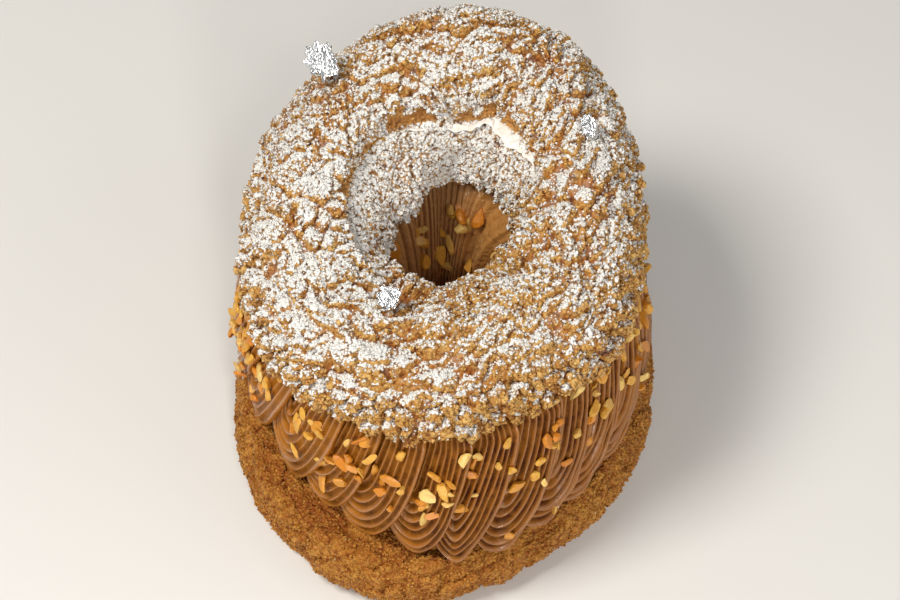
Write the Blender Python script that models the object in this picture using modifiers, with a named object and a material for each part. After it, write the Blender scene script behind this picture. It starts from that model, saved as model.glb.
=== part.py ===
"""Ring pastry: a split choux ring filled with piped praline cream, with torn silver leaf on its lid.

The ring is a little longer than wide. Three rings are stacked: the flat-footed choux base, the cream
piped in leaning overlapping ropes, and the domed choux lid, which sits a little back and dips at the
front. Every ring is the space between an outer outline and a hole outline, both ellipses, and its
cross-section follows the tube of a torus. Metres, +Z up, origin under the middle of the base.
"""

import math

import bpy
import numpy as np

# Plan: outlines are ellipses, a little squared where fullness is under 1 and narrowed where it is over
# 1, leaning clockwise from +Y
BASE_LEAN, CREAM_LEAN, LID_LEAN = math.radians(-15), math.radians(2), math.radians(-2)
BASE_FULLNESS, LID_FULLNESS = 1.03, 0.88

# Choux base
BASE_RADII = (0.0505, 0.0620)
BASE_HOLE_RADII = (0.0100, 0.0108)
BASE_TOP = 0.0150            # flat cut face that carries the cream
BASE_BULGE_HEIGHT = 0.0075   # where the side stands out furthest
BASE_TUBE_HEIGHT = 0.0105    # half height of the uncut tube

# Praline cream
CREAM_FOOT_CENTRE = (0.0001, 0.0010)
CREAM_TOP_CENTRE = (-0.0012, 0.0030)
CREAM_FULLNESS = (1.18, 1.05)  # at the foot and at the top
CREAM_RADII = (0.0478, 0.0574)
CREAM_TOP_RADII = (0.0440, 0.0530)
CREAM_HOLE_RADII = (0.0112, 0.0118)
CREAM_HOLE_TOP_RADII = (0.0140, 0.0162)
CREAM_BULGE = 0.0014         # how far the ropes belly out at mid height
ROPE_COUNT = 26
ROPE_TURN = 1.0              # ropes shift sideways by this many widths from foot to top
ROPE_DEPTH = 0.0024          # valley between two ropes on the outer side
ROPE_FOOT_DEPTH = 0.0014     # extra depth round the rounded feet of the ropes
ROPE_HOLE_DEPTH = 0.0009     # valley between two ropes in the hole

# Choux lid
LID_CENTRE = (-0.0011, 0.0034)
LID_RADII = (0.0455, 0.0528)
LID_HOLE_CENTRE = (0.0009, 0.0025)
LID_HOLE_RADII = (0.0130, 0.0161)
LID_HOLE_LEAN = math.radians(-30)
LID_BACK_SHIFT = 0.0057      # the back of the lid's outline drifts this far to +X
# Flat shoulders at the back left and front right, and a bulge between the latter and +X: the angle
# of each round the lid, its half width, and how far the outline goes in (or out, if negative) there
LID_DENTS = (
    (math.radians(143), math.radians(24), 0.0035),
    (math.radians(-66), math.radians(16), 0.0030),
    (math.radians(-33), math.radians(16), -0.0016),
)
LID_SEAT = 0.0555            # height of the lid's underside at the lid's middle
LID_DIP = math.radians(5)    # the front is lower than the back
LID_RIM = 0.0041             # from the underside up to the widest line
LID_DOME = 0.0221            # from the widest line up to the top
LID_BACK_RISE = 0.36         # share by which the dome is higher at the back and lower in front
COLLAR_WIDTH = (0.267, 0.130, 0.234)  # share of the tube inside the crease, at -X, behind and at +X
COLLAR_EASE = 0.8            # how gradually the crease swings out from behind to the sides
COLLAR_CORNER = (math.radians(66), math.radians(11), 0.030)   # where it juts out, how wide and how far
COLLAR_DROP = 0.0040         # how far the burst collar round the hole lies below the dome
COLLAR_SLOPE = 0.0055        # and how far it then slopes down towards the hole
COLLAR_STEP = math.radians(4)       # half of the angle round the tube over which the crease drops
COLLAR_MIDDLE = math.radians(108)   # the collar shows on this side of the ring
COLLAR_REACH = (math.radians(88), math.radians(122))   # and fades out between these angles from it
CREASE_LINES = (math.radians(100), math.radians(120))     # tube angles of the mesh on both its sides

HOLE_CENTRE = (0.0002, 0.0020)
GAP = 0.0003                 # between pieces that rest on each other

# Mesh density: segments round the ring and round its tube
BASE_SEGMENTS = (64, 12)
CREAM_SEGMENTS = (ROPE_COUNT * 5, 14)
LID_SEGMENTS = (84, 18)

# Torn silver leaf: where each flake sits (degrees round the lid and round its tube), which way its
# face looks and its turn about that way (degrees), its size, and its rise and lift off the lid
LEAF_THICKNESS = 0.00025
LEAF_CELLS = 5
LEAF_FLAKES = (
    {"seat": (146, 60), "faces": (-100, 45), "turn": 12, "size": (0.0086, 0.0102), "off": (0.0024, 0.0033)},
    {"seat": (-112, 79), "faces": (-80, 64), "turn": 45, "size": (0.0056, 0.0062), "off": (0.0, 0.0024)},
    {"seat": (15, 68), "faces": (-80, 66), "turn": 6, "size": (0.0046, 0.0066), "off": (0.0, 0.0017)},
)


def ellipse(turn, radii, centre, lean, fullness=1.0):
    """Points of a leaning ellipse, squared where fullness is under 1, and its outward unit normals."""
    x = radii[0] * rounded(np.cos(turn), fullness)
    y = radii[1] * rounded(np.sin(turn), fullness)
    nx, ny = np.cos(turn) / radii[0], np.sin(turn) / radii[1]
    length = np.hypot(nx, ny)
    cos, sin = math.cos(lean), math.sin(lean)
    points = np.stack([centre[0] + cos * x - sin * y, centre[1] + sin * x + cos * y], axis=-1)
    normals = np.stack([cos * nx - sin * ny, sin * nx + cos * ny], axis=-1) / length[..., None]
    return points, normals


def rounded(value, power):
    """A sine or cosine pushed towards a box, with its sign kept."""
    return np.sign(value) * np.abs(value) ** power


def smooth_step(low, high, value):
    share = np.clip((value - low) / (high - low), 0.0, 1.0)
    return share * share * (3.0 - 2.0 * share)


def apart(turn, middle):
    """The angle between two directions, from 0 to half a turn."""
    return np.abs(np.mod(turn - middle + math.pi, 2 * math.pi) - math.pi)


def across(hole, outer, share):
    """Points at a share of the way from the hole outline to the outer outline."""
    return hole + (outer - hole) * share[..., None]


def seat_height(y):
    """The tilted plane on which the lid rests."""
    return LID_SEAT + math.tan(LID_DIP) * (y - LID_CENTRE[1])


def base_surface(turn, tube):
    """A flat-footed ring, cut flat on top, its outline a little uneven."""
    uneven = 0.0005 * np.cos(4 * turn + 0.6) + 0.0004 * np.cos(6 * turn + 2.1)
    outer, normal = ellipse(turn, BASE_RADII, (0.0, 0.0), BASE_LEAN, BASE_FULLNESS)
    outer = outer + normal * uneven[..., None]
    hole, _ = ellipse(turn, BASE_HOLE_RADII, HOLE_CENTRE, BASE_LEAN)
    share = 0.5 + 0.5 * rounded(np.cos(tube), 0.6)
    plan = across(hole, outer, share)
    height = BASE_BULGE_HEIGHT + BASE_TUBE_HEIGHT * rounded(np.sin(tube), 0.9)
    return plan, np.clip(height, 0.0, BASE_TOP)


def cream_surface(turn, tube):
    """Leaning piped ropes between the base and the lid, with a funnel-shaped hole."""
    level = np.clip(0.5 + 0.56 * rounded(np.sin(tube), 0.85), 0.0, 1.0)
    slanted = turn + ROPE_TURN * 2 * math.pi / ROPE_COUNT * level
    side = rounded(np.cos(tube), 0.4)
    centre = [foot + (top - foot) * level for foot, top in zip(CREAM_FOOT_CENTRE, CREAM_TOP_CENTRE)]
    radii = [foot + (top - foot) * level ** 2 for foot, top in zip(CREAM_RADII, CREAM_TOP_RADII)]
    fullness = CREAM_FULLNESS[0] + (CREAM_FULLNESS[1] - CREAM_FULLNESS[0]) * level
    straight, normal = ellipse(slanted, radii, centre, CREAM_LEAN, fullness)
    outer = straight + normal * (CREAM_BULGE * np.sin(math.pi * level))[..., None]
    low_hole, _ = ellipse(slanted, CREAM_HOLE_RADII, HOLE_CENTRE, CREAM_LEAN)
    high_hole, _ = ellipse(slanted, CREAM_HOLE_TOP_RADII, LID_HOLE_CENTRE, CREAM_LEAN)
    hole = across(low_hole, high_hole, level)
    plan = across(hole, outer, 0.5 + 0.5 * side)
    along_rope = np.mod(turn * ROPE_COUNT / (2 * math.pi), 1.0)
    valley = 1.0 - np.sqrt(np.maximum(0.0, 1.0 - (2.0 * along_rope - 1.0) ** 2))
    outer_depth = ROPE_DEPTH + ROPE_FOOT_DEPTH * (1.0 - level)
    depth = np.where(side > 0.0, outer_depth, ROPE_HOLE_DEPTH) * valley
    plan = plan - normal * (side * depth)[..., None]
    bottom = BASE_TOP + GAP
    top = seat_height(plan[..., 1]) - GAP
    return plan, bottom + (top - bottom) * level


def lid_share(tube, crease):
    """Share of the way from the hole to the outer edge, with mesh lines close along the crease."""
    first, second = CREASE_LINES
    before, after = crease - COLLAR_STEP, crease + COLLAR_STEP
    bend = np.where(tube < first, tube / first * before,
                    before + (tube - first) / (second - first) * (after - before))
    foot = 0.5 + 0.5 * np.cos(after)
    into = np.clip((tube - second) / (math.pi - second), 0.0, 1.0)
    share = np.where(tube > second, foot * (1.0 - into) ** 1.5, 0.5 + 0.5 * np.cos(bend))
    return np.where(tube > 0.0, share, 0.5 + 0.5 * np.cos(tube)), foot


def lid_surface(turn, tube):
    """A domed ring with a flat underside and, round the hole, a burst collar that lies lower."""
    uneven = 0.0006 * np.sin(3 * turn + 0.4) + 0.0005 * np.sin(5 * turn + 1.9)
    outer, normal = ellipse(turn, LID_RADII, LID_CENTRE, LID_LEAN, LID_FULLNESS)
    for middle, width, depth in LID_DENTS:
        uneven = uneven - depth * np.exp(-(apart(turn, middle) / width) ** 2)
    outer = outer + normal * uneven[..., None]
    outer[..., 0] += LID_BACK_SHIFT * np.maximum(np.sin(turn), 0.0) ** 2
    hole, _ = ellipse(turn + LID_LEAN - LID_HOLE_LEAN, LID_HOLE_RADII, LID_HOLE_CENTRE, LID_HOLE_LEAN)

    left, behind, right = COLLAR_WIDTH
    sideways = np.where(np.cos(turn) < 0.0, left, right) - behind
    swing = (np.hypot(np.cos(turn), COLLAR_EASE) - COLLAR_EASE) / (math.hypot(1.0, COLLAR_EASE) - COLLAR_EASE)
    middle, width, jut = COLLAR_CORNER
    jut = jut * np.exp(-(apart(turn, middle) / width) ** 2)
    crease = np.arccos(2.0 * (behind + sideways * swing + jut) - 1.0)
    share, foot = lid_share(tube, crease)
    plan = across(hole, outer, share)

    dome = LID_DOME * (1.0 + LID_BACK_RISE * np.sin(turn)) + 0.0007 * np.sin(4 * turn + 0.9)
    domed = dome * np.sqrt(1.0 - (2.0 * share - 1.0) ** 2)
    ledge = dome * np.sqrt(1.0 - (2.0 * foot - 1.0) ** 2) - COLLAR_DROP
    inward = np.clip(1.0 - share / foot, 0.0, 1.0)
    collar = (ledge - COLLAR_SLOPE * inward) * np.sqrt(1.0 - inward ** 4)
    opened = 1.0 - smooth_step(*COLLAR_REACH, apart(turn, COLLAR_MIDDLE))
    inside = smooth_step(*CREASE_LINES, tube)
    upper = domed + (collar - domed) * opened * inside
    lower = 1.25 * LID_RIM * np.sin(tube)
    height = LID_RIM + np.where(tube > 0.0, upper, lower)
    return plan, seat_height(plan[..., 1]) + np.maximum(height, 0.0)


def finish(name, colour, roughness, metallic, collection):
    """Give the active object its name, collection and material, and shade it smooth."""
    piece = bpy.context.active_object
    piece.name = piece.data.name = name
    material = bpy.data.materials.new(name)
    material.use_nodes = True
    shader = material.node_tree.nodes["Principled BSDF"]
    shader.inputs["Base Color"].default_value = (*colour, 1.0)
    shader.inputs["Roughness"].default_value = roughness
    shader.inputs["Metallic"].default_value = metallic
    piece.data.materials.append(material)
    piece.data.shade_smooth()
    for owner in list(piece.users_collection):
        owner.objects.unlink(piece)
    collection.objects.link(piece)
    return piece


def read_points(mesh):
    points = np.empty(len(mesh.vertices) * 3)
    mesh.vertices.foreach_get("co", points)
    return points.reshape(-1, 3)


def write_points(mesh, points):
    mesh.vertices.foreach_set("co", points.astype(np.float32).ravel())
    mesh.update()


def make_ring(name, surface, segments, colour, roughness, collection):
    """Bend a plain torus so that its ring and tube angles follow a surface function."""
    bpy.ops.mesh.primitive_torus_add(
        major_segments=segments[0], minor_segments=segments[1], major_radius=1.0, minor_radius=0.25)
    piece = finish(name, colour, roughness, 0.0, collection)
    x, y, z = read_points(piece.data).T
    plan, height = surface(np.arctan2(y, x), np.arctan2(z, np.hypot(x, y) - 1.0))
    write_points(piece.data, np.column_stack([plan, height]))
    return piece


def lid_point(ring, tube):
    """A point on the lid and the outward direction there."""
    step = 0.01
    turns = np.array([ring, ring + step, ring])
    tubes = np.array([tube, tube, tube + step])
    plan, height = lid_surface(turns, tubes)
    points = np.column_stack([plan, height])
    out = np.cross(points[1] - points[0], points[2] - points[0])
    return points[0], out / np.linalg.norm(out)


def facing(azimuth, elevation, turn):
    """Rows across, up and out of a sheet that faces one way and is turned about that way."""
    out = np.array([math.cos(azimuth) * math.cos(elevation), math.sin(azimuth) * math.cos(elevation),
                    math.sin(elevation)])
    across_sheet = np.array([-math.sin(azimuth), math.cos(azimuth), 0.0])
    up = np.cross(out, across_sheet)
    cos, sin = math.cos(turn), math.sin(turn)
    return np.array([cos * across_sheet + sin * up, cos * up - sin * across_sheet, out]), up


def make_flake(name, flake, collection):
    """A torn crumpled square of leaf: a small grid, waved, with a ragged edge, then given thickness."""
    bpy.ops.mesh.primitive_grid_add(x_subdivisions=LEAF_CELLS, y_subdivisions=LEAF_CELLS, size=1.0)
    piece = finish(name, (0.80, 0.80, 0.82), 0.25, 1.0, collection)
    u, v, _ = read_points(piece.data).T
    ragged = 1.0 - 0.35 * np.abs(np.sin(5.0 * np.arctan2(v, u) + flake["turn"])) * np.hypot(u, v)
    width, height = flake["size"]
    wave = 0.06 * width * (np.sin(9.0 * u + 2.0 * v + flake["turn"]) + np.sin(8.0 * v - 3.0 * u))
    sheet = np.column_stack([u * ragged * width, v * ragged * height, wave])
    seat, out = lid_point(*(math.radians(angle) for angle in flake["seat"]))
    axes, up = facing(*(math.radians(angle) for angle in (*flake["faces"], flake["turn"])))
    rise, lift = flake["off"]
    write_points(piece.data, sheet @ axes + seat + up * rise + out * lift)
    shell = piece.modifiers.new("thickness", "SOLIDIFY")
    shell.thickness = LEAF_THICKNESS
    shell.offset = 0.0
    return piece


for old in list(bpy.data.objects):
    bpy.data.objects.remove(old, do_unlink=True)

pastry = bpy.data.collections.new("paris_brest")
bpy.context.scene.collection.children.link(pastry)

choux_colour = (0.56, 0.32, 0.13)
cream_colour = (0.42, 0.20, 0.07)
make_ring("choux_base", base_surface, BASE_SEGMENTS, choux_colour, 0.75, pastry)
make_ring("praline_cream", cream_surface, CREAM_SEGMENTS, cream_colour, 0.35, pastry)
make_ring("choux_lid", lid_surface, LID_SEGMENTS, choux_colour, 0.80, pastry)
for number, leaf_flake in enumerate(LEAF_FLAKES, start=1):
    make_flake(f"silver_leaf_{number}", leaf_flake, pastry)
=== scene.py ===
import math

import bmesh
import bpy
import numpy as np
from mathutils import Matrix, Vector


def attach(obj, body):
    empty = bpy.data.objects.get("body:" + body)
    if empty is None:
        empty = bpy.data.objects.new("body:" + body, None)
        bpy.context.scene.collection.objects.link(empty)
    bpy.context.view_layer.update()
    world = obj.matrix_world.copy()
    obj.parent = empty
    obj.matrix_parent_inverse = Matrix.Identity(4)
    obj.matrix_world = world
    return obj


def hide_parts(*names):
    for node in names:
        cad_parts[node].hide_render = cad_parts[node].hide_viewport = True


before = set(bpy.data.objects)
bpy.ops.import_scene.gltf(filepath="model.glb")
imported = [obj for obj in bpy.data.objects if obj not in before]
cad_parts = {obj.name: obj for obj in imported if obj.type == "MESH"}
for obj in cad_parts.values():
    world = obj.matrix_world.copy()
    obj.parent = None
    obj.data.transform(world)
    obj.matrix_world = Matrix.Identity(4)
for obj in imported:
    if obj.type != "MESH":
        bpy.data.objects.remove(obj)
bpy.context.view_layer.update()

# ---------------------------------------------------------------------------------------------------
# Choux base
# The lower half of the ring: choux paste baked flat on a tray, its side covered by a thin sugar crust
# that cracked into fine grains as the paste rose. It is sawn flat on top, where the cream sits.
# ---------------------------------------------------------------------------------------------------
BASE_LEAN = math.radians(-15)
BASE_FULLNESS = 1.03             # under 1 squares the outline, over 1 narrows its corners
BASE_RADII = (0.0505, 0.0620)
BASE_WAVES = (0.0005, 0.0004)    # the outline swings by these in four and in six waves
BASE_HOLE_RADII = (0.0100, 0.0108)
HOLE_CENTRE = (0.0002, 0.0020)
BASE_TOP = 0.0150
BASE_BULGE_HEIGHT = 0.0075
BASE_TUBE_HEIGHT = 0.0105
BASE_BOXED = (0.6, 0.9)          # how boxed the section is, across and up
BASE_LINES = (620, 158)          # mesh lines round the ring and round its section
BASE_FINE_TUBES = (-75, 112)     # degrees round the section where mesh lines are close
BASE_THIN = 0.16                 # share of the lines elsewhere
BASE_GRAIN = 0.00115             # width of a crust grain
BASE_PLATES = (44, 0.0046)       # crust plates round the ring, and their width down the side
BASE_KNOB_RISE = 0.00036         # what a grain, a lump and a plate stand up, and how deep a crack is
BASE_LUMP_RISE = 0.00030
BASE_PLATE_RISE = 0.00060
BASE_CRACK_DEPTH = 0.0016
BASE_SUNK = 0.0004               # the relief starts this far inside the solid
SHOULDER_HEIGHTS = (0.0135, 0.0158)    # the side's crust fades between these
CRACK_BENDS = ((0.006, 0.005), (0.0025, 0.0022))   # sizes of the noise that bends cracks: broad, fine
CRACK_PATCHES = 0.008            # size of the noise that opens some cracks and shuts others
LUMP_SIZES = (0.007, 0.0035)
FINE_GRAIN, COARSE_GRAIN, PEBBLES = 1500.0, 420.0, 1200.0   # crust and sugar pattern, steps per metre


def rounded(value, power):
    """A sine or cosine pushed towards a box: its size to a power, with its sign kept."""
    return np.sign(value) * np.abs(value) ** power


def smooth_step(low, high, value):
    """0 at low, 1 at high, and an S-curve between. It falls where high is the lesser of the two."""
    share = np.clip((value - low) / (high - low), 0.0, 1.0)
    return share * share * (3.0 - 2.0 * share)


def apart(turn, middle):
    """The angle between two directions, from 0 to half a turn."""
    return np.abs(np.mod(turn - middle + math.pi, 2 * math.pi) - math.pi)


def ellipse(turn, radii, centre, lean, fullness=1.0):
    """Points of a leaning ellipse and its outward unit normals. Fullness under 1 squares it."""
    x = radii[0] * rounded(np.cos(turn), fullness)
    y = radii[1] * rounded(np.sin(turn), fullness)
    nx, ny = np.cos(turn) / radii[0], np.sin(turn) / radii[1]
    length = np.hypot(nx, ny)
    cos, sin = math.cos(lean), math.sin(lean)
    points = np.stack([centre[0] + cos * x - sin * y, centre[1] + sin * x + cos * y], axis=-1)
    normals = np.stack([cos * nx - sin * ny, sin * nx + cos * ny], axis=-1) / length[..., None]
    return points, normals


def across(hole, outer, share):
    """Points at a share of the way from the hole outline to the outer outline."""
    return hole + (outer - hole) * share[..., None]


def base_surface(turn, tube):
    """A flat-footed ring: a boxed tube between hole and outline, its height clipped flat top and bottom."""
    uneven = BASE_WAVES[0] * np.cos(4 * turn + 0.6) + BASE_WAVES[1] * np.cos(6 * turn + 2.1)
    outer, normal = ellipse(turn, BASE_RADII, (0.0, 0.0), BASE_LEAN, BASE_FULLNESS)
    outer = outer + normal * uneven[..., None]
    hole, _ = ellipse(turn, BASE_HOLE_RADII, HOLE_CENTRE, BASE_LEAN)
    share = 0.5 + 0.5 * rounded(np.cos(tube), BASE_BOXED[0])
    plan = across(hole, outer, share)
    height = BASE_BULGE_HEIGHT + BASE_TUBE_HEIGHT * rounded(np.sin(tube), BASE_BOXED[1])
    return plan, np.clip(height, 0.0, BASE_TOP)


def ring_grid(surface, lines, tubes):
    """Turn, tube and point of every crossing of a ring's mesh lines."""
    turns = np.linspace(-math.pi, math.pi, lines, endpoint=False)
    turn, tube = np.meshgrid(turns, tubes, indexing="ij")
    plan, height = surface(turn, tube)
    return turn, tube, np.concatenate([plan, height[..., None]], axis=-1)


def even_tubes(surface, count, fine_from, fine_to, thin):
    """Tube angles that space mesh lines evenly along the mean section, sparsely outside the fine range."""
    tubes = np.linspace(-math.pi, math.pi, 1441)
    points = ring_grid(surface, 48, tubes)[2]
    steps = np.linalg.norm(np.diff(points, axis=1), axis=-1).mean(0)
    middle = 0.5 * (tubes[1:] + tubes[:-1])
    fine = (middle > math.radians(fine_from)) & (middle < math.radians(fine_to))
    travelled = np.concatenate([[0.0], np.cumsum(steps * np.where(fine, 1.0, thin))])
    return np.interp(np.arange(count) / count * travelled[-1], travelled, tubes)


def outward(points):
    """Unit normals of a grid closed both ways: the cross product of its two directions of travel."""
    along = np.roll(points, -1, 0) - np.roll(points, 1, 0)
    about = np.roll(points, -1, 1) - np.roll(points, 1, 1)
    normal = np.cross(along, about)
    return normal / np.maximum(np.linalg.norm(normal, axis=-1, keepdims=True), 1e-12)


def section_travel(points):
    """Distance along each section of a ring from its first mesh line, in metres."""
    steps = np.linalg.norm(np.diff(points, axis=1), axis=-1)
    return np.concatenate([np.zeros((len(points), 1)), np.cumsum(steps, axis=1)], axis=1)


def cell_random(cells, salt):
    """A random number from 0 to 1 for each whole-numbered cell, mixed from its three coordinates."""
    x, y, z = (cells[..., axis].astype(np.int64) for axis in range(3))
    mixed = ((x * 73856093) ^ (y * 19349663) ^ (z * 83492791) ^ (salt * 40503001)) & 0xFFFFFFFF
    for factor in (1274126177, 1103515245):
        mixed = ((mixed ^ (mixed >> 15)) * factor) & 0xFFFFFFFF
    return ((mixed ^ (mixed >> 13)) & 0xFFFFFF) / 0x1000000


def soft_noise(spots, size, salt):
    """Smooth noise from -1 to 1: random values on a lattice of that size, blended between corners."""
    scaled = spots / size
    low = np.floor(scaled)
    part = scaled - low
    part = part * part * (3.0 - 2.0 * part)
    total = 0.0
    for corner in np.ndindex(2, 2, 2):
        weight = np.prod(np.where(np.array(corner) == 1, part, 1.0 - part), axis=-1)
        total = total + weight * cell_random(low + np.array(corner), salt)
    return 2.0 * total - 1.0


def nearest_seeds(spots, salt, around=0):
    """Distances to the nearest and next seed, one seed to a unit cell, and the nearest's own number.

    Where around is given, the first coordinate closes on itself after that many cells."""
    home = np.floor(spots)
    first = np.full(spots.shape[:-1], 9.0)
    second, own = first.copy(), np.zeros_like(first)
    for offset in np.ndindex(3, 3, 3):
        cell = home + np.array(offset) - 1.0
        named = cell.copy()
        if around:
            named[..., 0] = np.mod(cell[..., 0], around)
        seed = cell + np.stack([cell_random(named, salt + axis) for axis in range(3)], axis=-1)
        gap = np.linalg.norm(seed - spots, axis=-1)
        nearer = gap < first
        second = np.where(nearer, first, np.minimum(second, gap))
        own = np.where(nearer, cell_random(named, salt + 3), own)
        first = np.where(nearer, gap, first)
    return first, second, own


def crackled(points, turn, travel, plates, grain, salt):
    """Cracks, grains, broad lumps and domed plates of a sugar crust.

    Plates are seeds spread on (turn, travel), bent by noise. A crack is where two seeds are equally
    near, and noise opens some cracks and shuts others. Grains are round knobs on seeds in space."""
    count, width = plates
    (round_broad, down_broad), (round_fine, down_fine) = CRACK_BENDS
    bend = np.stack([soft_noise(points, round_broad, salt),
                     soft_noise(points, down_broad, salt + 1)], axis=-1)
    bend = bend + 0.5 * np.stack([soft_noise(points, round_fine, salt + 2),
                                  soft_noise(points, down_fine, salt + 3)], axis=-1)
    where = np.stack([turn / (2 * math.pi) * count + 0.34 * bend[..., 0],
                      travel / width + 0.42 * bend[..., 1], np.full_like(turn, 0.5)], axis=-1)
    first, second, own = nearest_seeds(where, salt + 10, count)
    opened = smooth_step(-0.35, 0.55, soft_noise(points, CRACK_PATCHES, salt + 4))
    crack = (1.0 - smooth_step(0.02, 0.12 + 0.30 * opened, second - first)) * (0.25 + 0.75 * opened)
    near, _, size = nearest_seeds(points / grain, salt + 20)
    knob = np.sqrt(np.maximum(0.0, 1.0 - (near / 0.80) ** 2)) * (0.55 + 0.75 * size)
    lump = soft_noise(points, LUMP_SIZES[0], salt + 5) + 0.5 * soft_noise(points, LUMP_SIZES[1], salt + 6)
    plate = np.sqrt(np.maximum(0.0, 1.0 - first ** 2)) * (0.6 + 0.8 * own)
    return crack, knob, lump, plate


def ring_faces(lines, tubes):
    """Four-sided faces of a grid closed both ways, turned outwards."""
    here = np.arange(lines * tubes).reshape(lines, tubes)
    ahead, above = np.roll(here, -1, 0), np.roll(here, -1, 1)
    return np.stack([here, ahead, np.roll(ahead, -1, 1), above], axis=-1).reshape(-1, 4)


def make_piece(name, points, faces, values, material, replaced=()):
    """A smooth-shaded mesh with its attributes, finish and place on the one body."""
    mesh = bpy.data.meshes.new(name)
    corners = faces.shape[1]
    mesh.vertices.add(len(points))
    mesh.vertices.foreach_set("co", points.astype(np.float32).ravel())
    mesh.loops.add(faces.size)
    mesh.loops.foreach_set("vertex_index", faces.astype(np.int32).ravel())
    mesh.polygons.add(len(faces))
    mesh.polygons.foreach_set("loop_start", np.arange(0, faces.size, corners, dtype=np.int32))
    mesh.update(calc_edges=True)
    mesh.validate()
    for label, value in values.items():
        mesh.attributes.new(label, "FLOAT", "POINT").data.foreach_set(
            "value", value.astype(np.float32).ravel())
    mesh.shade_smooth()
    mesh.materials.append(material)
    piece = bpy.data.objects.new(name, mesh)
    bpy.context.scene.collection.objects.link(piece)
    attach(piece, "root")
    if replaced:
        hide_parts(*replaced)
    return piece


def tone(red, green, blue):
    """A colour given as screen values from 0 to 255, as the light values that a shader takes."""
    return (*((np.array([red, green, blue]) / 255.0) ** 2.2), 1.0)


class Finish:
    """A material being wired: each call adds its nodes and returns the output that it names."""

    def __init__(self, name):
        self.material = bpy.data.materials.new(name)
        self.material.use_nodes = True
        self.tree = self.material.node_tree
        self.shader = self.tree.nodes["Principled BSDF"]
        self.spots = self.node("ShaderNodeTexCoord").outputs["Object"]

    def node(self, kind, **settings):
        made = self.tree.nodes.new(kind)
        for key, value in settings.items():
            setattr(made, key, value)
        return made

    def feed(self, socket, value):
        if isinstance(value, bpy.types.NodeSocket):
            self.tree.links.new(value, socket)
        else:
            socket.default_value = value

    def value(self, label):
        return self.node("ShaderNodeAttribute", attribute_name=label).outputs["Fac"]

    def maths(self, operation, first, second):
        made = self.node("ShaderNodeMath", operation=operation)
        self.feed(made.inputs[0], first)
        self.feed(made.inputs[1], second)
        return made.outputs[0]

    def span(self, value, low, high, to_low=0.0, to_high=1.0):
        made = self.node("ShaderNodeMapRange", interpolation_type="SMOOTHSTEP")
        for socket, given in zip(made.inputs, (value, low, high, to_low, to_high)):
            self.feed(socket, given)
        return made.outputs[0]

    def noise(self, scale, detail, rough):
        made = self.node("ShaderNodeTexNoise")
        self.feed(made.inputs["Vector"], self.spots)
        for key, given in (("Scale", scale), ("Detail", detail), ("Roughness", rough)):
            made.inputs[key].default_value = given
        return made.outputs["Fac"]

    def cells(self, scale):
        made = self.node("ShaderNodeTexVoronoi")
        self.feed(made.inputs["Vector"], self.spots)
        made.inputs["Scale"].default_value = scale
        return made.outputs["Distance"]

    def blend(self, share, first, second):
        made = self.node("ShaderNodeMix", data_type="RGBA")
        self.feed(made.inputs[0], share)
        self.feed(made.inputs[6], first)
        self.feed(made.inputs[7], second)
        return made.outputs[2]

    def weighted(self, value, middle, weight):
        """A value's distance from the middle, times a weight."""
        return self.maths("MULTIPLY", self.maths("SUBTRACT", value, middle), weight)

    def raised(self, height, distance, strength):
        """Fine relief in the shading."""
        made = self.node("ShaderNodeBump")
        made.inputs["Distance"].default_value = distance
        made.inputs["Strength"].default_value = strength
        self.feed(made.inputs["Height"], height)
        self.feed(self.shader.inputs["Normal"], made.outputs[0])

    def surface(self, **given):
        for key, value in given.items():
            self.feed(self.shader.inputs[key.replace("_", " ")], value)
        return self.material


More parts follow.
